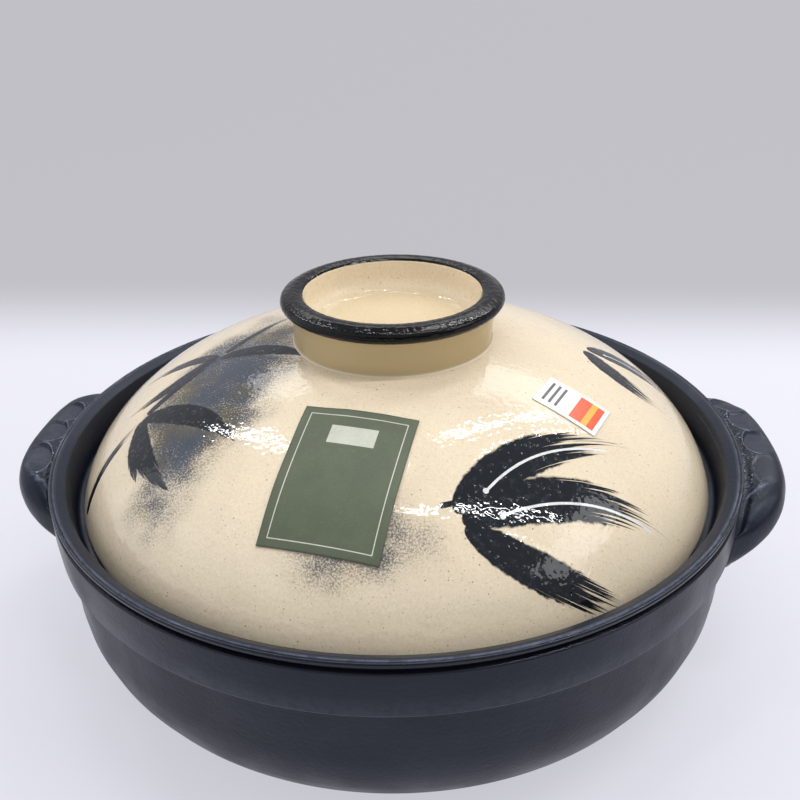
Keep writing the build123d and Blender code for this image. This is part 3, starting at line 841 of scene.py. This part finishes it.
def buildRing():
    # the outline turned about Z, the black lip pressed in by up to bumps; one field marks painted shade with
    # pooled glaze on the waist and in the recess, another a painted highlight along the foot seam
    outline = roundedOutline(ringCorners(ring), ring["step"], 0.16)
    lipTop, lip = ringHigh[2], ringHigh[0]
    points = turnedPoints(outline, ring["around"])
    radius, height = np.hypot(points[:, 0], points[:, 1]), points[:, 2].copy()
    inside = smoothStep(lip - ring["mouthInset"] - 0.1, lip - ring["mouthInset"] + 0.5, radius)
    above = smoothStep(lipTop - ring["blackDrop"] - 0.7, lipTop - ring["blackDrop"] + 0.7, height)
    lipField = inside * above
    rough = np.clip(0.6 * waves(points, 3.0, 31) + 0.4 * waves(points, 1.7, 32), -1, 1)
    press = ring["bumps"] * (1 - rough) * lipField
    points[:, 2] -= press * smoothStep(lipTop - 3, lipTop - 0.5, height)
    points[:, :2] *= (1 - press * smoothStep(lip - 4, lip, radius) / np.maximum(radius, 1))[:, None]
    mouth, floor = lip - ring["mouthInset"], lidHigh[2] + ring["floorRise"]
    # painted shade on the waist under the lip's overhang, with pooled glaze
    poolAndShade = smoothStep(lipTop - 26, lipTop - 20, height) * smoothStep(mouth + 2, lip - 5, radius)
    # painted shade in the recess's lower corner, with pooled glaze
    recess = smoothStep(mouth + 0.4, mouth - 0.6, radius) * smoothStep(floor + 5, floor + 1, height)
    poolAndShade = np.maximum(poolAndShade, ring["recessPoolAndShade"] * recess)
    foot = ring["footRadius"] + ring["footReach"]
    seat = domeHeight(foot)
    # painted highlight: a thin pale line along the seam where the ring meets the dome
    seamHighlight = hump(radius, foot, 0.3) * smoothStep(seat + 0.8, seat + 0.35, height)
    addPiece("gripRing", points, turnedFaces(len(outline) - 2, ring["around"]), ringGlaze, "lid",
             "lid_knob_ring", {"lip": lipField, "poolAndShade": poolAndShade, "seamHighlight": seamHighlight})


buildRing()

handleShares = {
    # across a handle: shares of its reach and of its height, from its foot round to its top
    "section": [
        (-0.42, 0.0), (0.0, 0.015), (0.10, 0.07), (0.34, 0.14), (0.58, 0.23), (0.92, 0.42), (1.0, 0.62),
        (0.965, 0.82), (0.85, 0.94), (0.58, 1.0), (0.28, 0.975), (0.08, 0.91), (0.0, 0.915), (-0.42, 0.93),
    ],
    # along a handle: place, reach, foot and top of the section, and how far it is sunk
    "stations": [
        (0.0, 1.0, 0.0, 1.0, 0.0), (0.36, 1.0, 0.0, 1.0, 0.0), (0.62, 0.97, -0.02, 0.965, 0.0),
        (0.80, 0.87, -0.06, 0.86, 0.0), (0.92, 0.66, -0.11, 0.69, 0.0), (1.0, 0.36, -0.16, 0.53, 0.0),
        (1.07, 0.12, -0.18, 0.40, 0.25),
    ],
}
handle = {
    "drop": 2.7, "height": 24.0, "endShare": 1.07, "along": 440, "outerCount": 170, "backCount": 6,
    "pressHalf": 10.4, "pressIn": 5.2, "pressOut": 7.2, "pressDepth": 1.7,
    "faintDepth": 0.35, "rimRise": 0.34, "rimWidth": 0.035, "pebbles": 0.11, "pits": 0.1,
    "clear": 0.06, "rearFall": 1.7, "runOut": 0.8, "creaseRise": 0.4, "poolAndShadeShare": 0.35,
}
handles = {
    # presses by their place along the handle and half length, faint ones and creases by their place
    "handleLeft": {
        "node": "handle_left", "side": -1, "presses": ((12.4, 9.2), (-5.0, 9.8), (-26.4, 10.4)),
        "faint": (), "pressMiddle": 7.6, "creases": (-43.0,), "seed": 41},
    "handleRight": {
        "node": "handle_right", "side": 1, "presses": ((31.0, 9.8), (14.2, 10.2), (-5.4, 10.2)),
        "faint": (-26.0,), "pressMiddle": 8.8, "creases": (-42.0,), "seed": 51},
}


def handleSurface(halfLength, reach):
    # stations run along Y; at each the section's shares scale to its reach and height, out from the wall
    along = np.linspace(-handle["endShare"], handle["endShare"], handle["along"])
    stations = np.array(handleShares["stations"])
    known = np.concatenate([stations[:0:-1] * [-1, 1, 1, 1, 1], stations])
    reachShare, footShare, topShare, sinkShare = easedCurve(along, known[:, 0], known[:, 1:]).T[:, :, None]
    section = np.array(handleShares["section"])
    chords = arcLengths(section * [reach, handle["height"]])
    outer = easedCurve(np.linspace(0, chords[-1], handle["outerCount"]), chords, section)
    back = outer[-1] + np.linspace(0, 1, handle["backCount"] + 2)[1:-1, None] * (outer[0] - outer[-1])
    loop = np.concatenate([outer, back])
    place = along[:, None] * halfLength
    wall = np.sqrt(potHigh[0] ** 2 - place ** 2) - sinkShare * reach
    out = loop[:, 0] * reachShare * reach
    bottom = potHigh[2] - handle["drop"] - handle["height"]
    low = bottom + footShare * handle["height"]
    level = loop[:, 1] + 0 * place
    height = low + level * (topShare - footShare) * handle["height"]
    return np.stack([wall + out, place + 0 * out, height], -1), out + 0 * place, level


def pressedHandle(points, out, level, reach, details):
    # Each finger press is a cup with a steep, raised rim on its inner side; it runs out towards the outer
    # face. With q the distance from its middle as a share of its half axes, its depth is
    # step(1, 0.8, q) (1 - run out step(-0.2, 0.95, outward share)).
    along = points[..., 1]
    upper = smoothStep(0.62, 0.84, level)
    cut, lips, inPress = np.zeros_like(along), np.zeros_like(along), np.zeros_like(along)
    pressRows = [(place, handle["pressDepth"], half) for place, half in details["presses"]]
    pressRows += [(place, handle["faintDepth"], handle["pressHalf"]) for place in details["faint"]]
    for place, depth, pressHalf in pressRows:
        outward = out - details["pressMiddle"]
        radial = np.where(outward < 0, outward / handle["pressIn"], outward / handle["pressOut"])
        q = np.hypot((along - place) / pressHalf, radial)
        runOut = 1 - handle["runOut"] * smoothStep(-0.2, 0.95, radial)
        cut = np.maximum(cut, depth * smoothStep(1.0, 0.8, q) * runOut)
        strength = depth / handle["pressDepth"]
        lips = np.maximum(lips, strength * hump(q, 1.0, handle["rimWidth"]) * smoothStep(0.6, -0.3, radial))
        inPress = np.maximum(inPress, smoothStep(1.02, 0.94 * strength, q) * strength)
    crease = np.zeros_like(along)
    for place in details["creases"]:
        line = along - place - 0.6 * out + 0.9 * waves(points, 5, details["seed"] + 3)
        crease = np.maximum(crease, hump(line, 0, 1.1) * smoothStep(0, 2, out) * smoothStep(11, 7, out))
    rough = waves(points, 1.6, details["seed"]) * 0.6 + waves(points, 1.0, details["seed"] + 1) * 0.5
    bumpy = smoothStep(0.5, 0.2, out / reach) * smoothStep(-0.5, 0.8, out) * (1 - inPress)
    front = smoothStep(-28, -35, along) * smoothStep(-44, -38, along) * smoothStep(0.66, 0.36, out / reach)
    towardsEnds = np.abs(along) / np.abs(along).max()
    bumpy = np.maximum(bumpy * smoothStep(0.9, 0.6, towardsEnds), front * (1 - inPress))
    pebbles = handle["pebbles"] * np.clip(rough, -1, 0.7) * bumpy
    pits = handle["pits"] * smoothStep(0.75, 1.3, waves(points, 1.5, details["seed"] + 2)) * bumpy
    points = points.copy()
    fall = handle["rearFall"] * smoothStep(22, 42, along)
    rise = handle["rimRise"] * lips + handle["creaseRise"] * crease
    points[..., 2] += upper * (rise - cut + pebbles - pits - fall)
    points[..., 2] = np.minimum(points[..., 2], potHigh[2] - handle["drop"] + 0.6)
    # painted highlights: glints on the pebble tops, bright lips round the presses and the crease lines, and a
    # faint painted sheen on the press floors; returned to lighten the glaze
    paintedGlints = 1.8 * smoothStep(0.75, 1.1, rough) * bumpy
    light = np.maximum(np.maximum(1.5 * lips, np.maximum(crease, paintedGlints)), 0.2 * inPress)
    return points, light * upper, bumpy * upper


def buildHandle(name, details):
    # the pressed surface, closed by a fan at each end; the left one is its mirror picture, faces turned round
    low, high = nodeBox(details["node"])
    reach = max(abs(low[0]), abs(high[0])) - potHigh[0] - handle["clear"]
    halfLength = (high[1] - low[1]) / 2 / handle["endShare"]
    points, out, level = handleSurface(halfLength, reach)
    points, lighterGlaze, bumpy = pressedHandle(points, out, level, reach, details)
    rings, around = points.shape[:2]
    ends = points[[0, -1]].mean(axis=1)
    flat = np.concatenate([ends[:1], points.reshape(-1, 3), ends[1:]])
    faces = turnedFaces(rings, around)
    flat[:, 0] *= details["side"]
    if details["side"] < 0:
        faces = [face[:, ::-1] for face in faces]

    def whole(values):
        return np.concatenate([[0], values.ravel(), [0]])

    # pooled glaze and painted shade in the bumpy valley beside the rim, kept off the painted highlights
    poolAndShade = handle["poolAndShadeShare"] * bumpy * np.clip(1 - lighterGlaze, 0, 1)
    addPiece(name, flat, faces, handleGlaze, "pot", details["node"],
             {"lighterGlaze": whole(np.clip(lighterGlaze, 0, 2)), "poolAndShade": whole(poolAndShade)})


for handleName, handleDetails in handles.items():
    buildHandle(handleName, handleDetails)

labels = {
    "paperLabel": {
        "node": "paper_label", "slot": "green_paper", "radius": 88.3, "angle": -98.3, "twist": -3.3,
        "width": 42.0, "length": 57.5, "lift": 0.1, "thickness": 0.25, "buckle": 0.5, "seed": 61},
    "smallLabel": {
        "node": "small_label", "slot": "white_paper", "radius": 80.7, "angle": -30.0, "twist": 4.6,
        "width": 19.0, "length": 26.6, "lift": 0.1, "thickness": 0.2, "buckle": 0.0, "seed": 62},
}
greenPaper = {
    "colour": tone(80, 89, 68), "fibreColour": tone(110, 119, 95), "lineColour": tone(214, 216, 200),
    "roughness": 0.5, "lineInset": 3.0, "lineWidth": 0.35, "plateHalf": (8.5, 4.0), "plateRaise": 17.0,
}
whiteSticker = {
    "colour": tone(238, 238, 236), "fibreColour": tone(226, 226, 222), "orange": tone(226, 88, 42),
    "amber": tone(238, 176, 60), "grey": tone(70, 68, 70), "roughness": 0.32,
    "blockTop": -1.2, "blockBottom": -11.4, "blockHalf": 7.6, "bandLow": -8.6, "bandHigh": -6.2,
    "ruleHeights": (10.2, 7.6, 5.0), "ruleHalf": 6.6, "ruleThickness": 0.5,
}


def within(tree, value, low, high, soft=0.08):
    # 1 between low and high, in millimetres on the label, with a thin soft edge
    return times(tree, fade(tree, value, (low - soft) * mm, low * mm),
                 fade(tree, value, (high + soft) * mm, high * mm))


def box(tree, spot, left, right, bottom, top):
    return times(tree, within(tree, spot[0], left, right), within(tree, spot[1], bottom, top))


def makeGreenPaper(details):
    # dull green paper with a thin pale border and one plain pale name plate, left blank
    material, tree, shader = newMaterial("greenPaper", Roughness=greenPaper["roughness"])
    skin = placeGroup(tree, paperSkin, {
        "Colour": greenPaper["colour"], "Fibre Colour": greenPaper["fibreColour"], "Fibres": 0.35})
    spot = parts(tree, field(tree, "sheet", "Vector"))
    across = details["width"] / 2 - greenPaper["lineInset"]
    along = details["length"] / 2 - greenPaper["lineInset"]
    line = greenPaper["lineWidth"]
    border = minus(tree, box(tree, spot, -across, across, -along, along),
                   box(tree, spot, line - across, across - line, line - along, along - line))
    plateAcross, plateAlong = greenPaper["plateHalf"]
    plate = box(tree, spot, -plateAcross, plateAcross, greenPaper["plateRaise"] - plateAlong,
                greenPaper["plateRaise"] + plateAlong)
    marks = calc(tree, "MAXIMUM", border, times(tree, plate, 0.9))
    marks = times(tree, marks, fade(tree, skin["Height"], 0.1, 0.5, 0.75, 0.95))
    colour = blendColours(tree, marks, skin["Colour"], greenPaper["lineColour"])
    tree.links.new(colour, shader["Base Color"])
    bumpInto(tree, shader, skin["Height"], 0.03 * mm)
    return material


def makeWhiteSticker(details):
    # coated white paper printed with plain blocks: grey rules above, orange with an amber band below
    material, tree, shader = newMaterial("whiteSticker", Roughness=whiteSticker["roughness"])
    skin = placeGroup(tree, paperSkin, {
        "Colour": whiteSticker["colour"], "Fibre Colour": whiteSticker["fibreColour"], "Fibres": 0.2})
    spot = parts(tree, field(tree, "sheet", "Vector"))
    half = whiteSticker["blockHalf"]
    block = box(tree, spot, -half, half, whiteSticker["blockBottom"], whiteSticker["blockTop"])
    colour = blendColours(tree, block, skin["Colour"], whiteSticker["orange"])
    band = box(tree, spot, -half, half, whiteSticker["bandLow"], whiteSticker["bandHigh"])
    colour = blendColours(tree, band, colour, whiteSticker["amber"])
    for height in whiteSticker["ruleHeights"]:
        thickness = whiteSticker["ruleThickness"]
        rule = box(tree, spot, -whiteSticker["ruleHalf"], whiteSticker["ruleHalf"], height - thickness,
                   height + thickness)
        colour = blendColours(tree, rule, colour, whiteSticker["grey"])
    tree.links.new(colour, shader["Base Color"])
    bumpInto(tree, shader, skin["Height"], 0.008 * mm)
    return material


def buildLabel(name, details, material, columns=57, rows=77):
    # a flat rectangle, tilted to lie along the dome and slid onto it; along points up towards the ring
    across = np.linspace(-1, 1, columns)[:, None] * details["width"] / 2 + np.zeros(rows)
    along = np.linspace(-1, 1, rows)[None, :] * details["length"] / 2 + np.zeros((columns, 1))
    radius, angle, twist = details["radius"], math.radians(details["angle"]), math.radians(details["twist"])
    fall = domeHeight(radius - details["length"] / 2) - domeHeight(radius + details["length"] / 2)
    tilt = math.atan2(fall, details["length"])
    out = np.array([math.cos(angle), math.sin(angle), 0])
    sideways = np.array([-math.sin(angle), math.cos(angle), 0])
    down = out * math.cos(tilt) - [0, 0, math.sin(tilt)]
    normal = out * math.sin(tilt) + [0, 0, math.cos(tilt)]
    downhill = -along * math.cos(twist) - across * math.sin(twist)
    crossways = -along * math.sin(twist) + across * math.cos(twist)
    flatPoints = radius * out + [0, 0, domeHeight(radius)] + downhill[..., None] * down \
        + crossways[..., None] * sideways
    edge = np.maximum(np.abs(across) / details["width"], np.abs(along) / details["length"]) * 2
    buckle = details["buckle"] * (0.5 + 0.5 * np.clip(waves(flatPoints, 30, details["seed"]), -1, 1))
    lift = details["lift"] + buckle * smoothStep(0.72, 1.0, edge)
    lower = onDome(flatPoints, normal, lift).reshape(-1, 3)
    upper = onDome(flatPoints, normal, lift + details["thickness"]).reshape(-1, 3)
    sheet = np.stack([across, along, 0 * across], -1).reshape(-1, 3) * mm
    addPiece(name, np.concatenate([upper, lower]), slabFaces(columns, rows), material, "lid",
             details["node"], {"sheet": np.tile(sheet, (2, 1))})


buildLabel("paperLabel", labels["paperLabel"], makeGreenPaper(labels["paperLabel"]))
buildLabel("smallLabel", labels["smallLabel"], makeWhiteSticker(labels["smallLabel"]))

stage = {
    "tableColour": tone(232, 231, 240), "backdropColour": tone(193, 192, 198), "halfWidth": 4.0,
    "front": -4.0, "back": 1.1, "sweepRadius": 0.7, "top": 2.6, "tableEnd": (0.24, 0.44),
    "tableGlow": 0.64, "backdropGlow": 0.95,
}


def makeStagePaper():
    # pale paper sweep; part of its brightness is its own where the camera or a reflection sees it
    material = bpy.data.materials.new("stagePaper")
    material.use_nodes = True
    tree = material.node_tree
    tree.nodes.clear()
    behind = fade(tree, parts(tree, objectPlace(tree))[1], *stage["tableEnd"])
    colour = blendColours(tree, behind, stage["tableColour"], stage["backdropColour"])
    rays = newNode(tree, "LightPath").outputs
    seen = calc(tree, "MAXIMUM", rays["Is Camera Ray"], rays["Is Glossy Ray"])
    seen = calc(tree, "MAXIMUM", seen, rays["Is Transmission Ray"])
    glow = fade(tree, behind, 0.0, 1.0, stage["tableGlow"], stage["backdropGlow"])
    paper = newNode(tree, "BsdfDiffuse", {"Color": colour}).outputs[0]
    own = newNode(tree, "Emission", {"Color": colour, "Strength": 1.0}).outputs[0]
    mixed = newNode(tree, "MixShader", {0: times(tree, seen, glow), 1: paper, 2: own}).outputs[0]
    output = newNode(tree, "OutputMaterial", {"Surface": mixed})
    output.is_active_output = True
    return material


def buildSweep():
    # floor, a quarter turn, then a wall: one outline in Y and Z carried along X
    turn = np.linspace(0, np.pi / 2, 25)
    bend = np.stack([stage["back"] + stage["sweepRadius"] * np.sin(turn),
                     stage["sweepRadius"] * (1 - np.cos(turn))], 1)
    wallTop = [[stage["back"] + stage["sweepRadius"], stage["top"]]]
    line = np.concatenate([[[stage["front"], 0]], bend, wallTop])
    sides = np.array([-stage["halfWidth"], stage["halfWidth"]])
    points = np.concatenate([np.column_stack([np.full(len(line), side), line]) for side in sides])
    spot = np.arange(len(line) - 1)
    faces = np.stack([spot, spot + len(line), spot + len(line) + 1, spot + 1], 1)
    mesh = bpy.data.meshes.new("stageSweep")
    mesh.from_pydata(points.tolist(), [], faces.tolist())
    mesh.polygons.foreach_set("use_smooth", np.ones(len(faces), bool))
    mesh.materials.append(makeStagePaper())
    sweep = bpy.data.objects.new("stageSweep", mesh)
    bpy.context.scene.collection.objects.link(sweep)


lamps = {
    # ends of the long side and width in metres, watts; every lamp faces the lid
    "tubeNear": {"ends": ((0.03, -0.2, 1.5), (1.3, -0.1, 1.5)), "width": 0.026, "power": 8.6},
    "tubeFar": {"ends": ((0.2, 0.5, 1.5), (1.4, 1.5, 1.5)), "width": 0.026, "power": 8.6},
    "tubeLeft": {"ends": ((-1.6, 1.2, 1.5), (-0.65, 0.5, 1.5)), "width": 0.026, "power": 5},
    "tubeMiddle": {"ends": ((-0.4, 0.28, 1.5), (0.0, 0.2, 1.5)), "width": 0.026, "power": 2.0},
    "panelFront": {"ends": ((-1.3, -1.5, 1.05), (1.1, -1.5, 1.05)), "width": 1.0, "power": 3.5},
    "panelRight": {"ends": ((1.5, -0.9, 1.2), (1.5, 0.3, 1.2)), "width": 0.5, "power": 5},
    "panelBack": {"ends": ((-1.2, 1.55, 1.55), (1.3, 1.55, 1.55)), "width": 0.5, "power": 9},
}
studioLight = {
    "colour": tone(238, 240, 246), "low": 0.42, "high": 0.5, "front": 0.35, "left": 0.75,
    "leftSpan": (-0.2, -0.85), "target": (0, 0, 0.1),
}


def addLamp(name, lamp):
    # the long side is the lamp's own X, its light leaves along -Z towards the target
    first, last = Vector(lamp["ends"][0]), Vector(lamp["ends"][1])
    middle, side = (first + last) / 2, (last - first).normalized()
    away = middle - Vector(studioLight["target"])
    away = (away - side * away.dot(side)).normalized()
    light = bpy.data.lights.new(name, "AREA")
    light.shape = "RECTANGLE"
    light.size, light.size_y = (last - first).length, lamp["width"]
    light.energy = lamp["power"]
    holder = bpy.data.objects.new(name, light)
    turn = Matrix((side, away.cross(side), away)).transposed()
    holder.matrix_world = Matrix.Translation(middle) @ turn.to_4x4()
    bpy.context.scene.collection.objects.link(holder)


def lightScene():
    for name, lamp in lamps.items():
        addLamp(name, lamp)
    # the room: brighter above, dimmer in front of the pot, with soft light from the left
    world = bpy.data.worlds.new("studio")
    world.use_nodes = True
    tree = world.node_tree
    way = parts(tree, newNode(tree, "TexCoord").outputs["Generated"])
    strength = fade(tree, way[2], 0.0, 0.9, studioLight["low"], studioLight["high"])
    towardsFront = calc(tree, "MULTIPLY_ADD", way[2], 0.6, way[1])
    infront = fade(tree, towardsFront, 0.0, -0.8, 1.0, studioLight["front"])
    fromLeft = fade(tree, way[0], *studioLight["leftSpan"], 0.0, studioLight["left"])
    strength = plus(tree, times(tree, strength, infront), fromLeft)
    seen = newNode(tree, "LightPath").outputs["Is Camera Ray"]
    level = blendValues(tree, seen, strength, 1.0)
    background = tree.nodes["Background"].inputs
    colour = blendColours(tree, seen, studioLight["colour"], stage["backdropColour"])
    tree.links.new(colour, background["Color"])
    tree.links.new(level, background["Strength"])
    bpy.context.scene.world = world
    bpy.context.scene.view_settings.view_transform = "Standard"


cameraSetting = {
    "place": (25.5, -331.2, 277.9), "yaw": 4.06, "pitch": -29.58, "roll": -1.13, "lens": 39.03,
    "shiftUp": 0.0346,
}


def placeCamera():
    # yaw turns the view from +Y towards -X, pitch tips it down, roll turns it about its own axis
    yaw, pitch, roll = (math.radians(cameraSetting[name]) for name in ("yaw", "pitch", "roll"))
    forward = Vector((-math.sin(yaw) * math.cos(pitch), math.cos(yaw) * math.cos(pitch), math.sin(pitch)))
    right = forward.cross(Vector((0, 0, 1))).normalized()
    up = right.cross(forward)
    tiltedRight = right * math.cos(roll) + up * math.sin(roll)
    tiltedUp = up * math.cos(roll) - right * math.sin(roll)
    data = bpy.data.cameras.new("photoView")
    data.sensor_width = 36
    data.lens = cameraSetting["lens"]
    data.shift_y = cameraSetting["shiftUp"]
    data.clip_start = 0.01
    camera = bpy.data.objects.new("photoView", data)
    turn = Matrix((tiltedRight, tiltedUp, -forward)).transposed()
    camera.matrix_world = Matrix.Translation(Vector(cameraSetting["place"]) * mm) @ turn.to_4x4()
    bpy.context.scene.collection.objects.link(camera)
    bpy.context.scene.camera = camera


buildSweep()
lightScene()
placeCamera()
print("stage, lamps and camera in place")
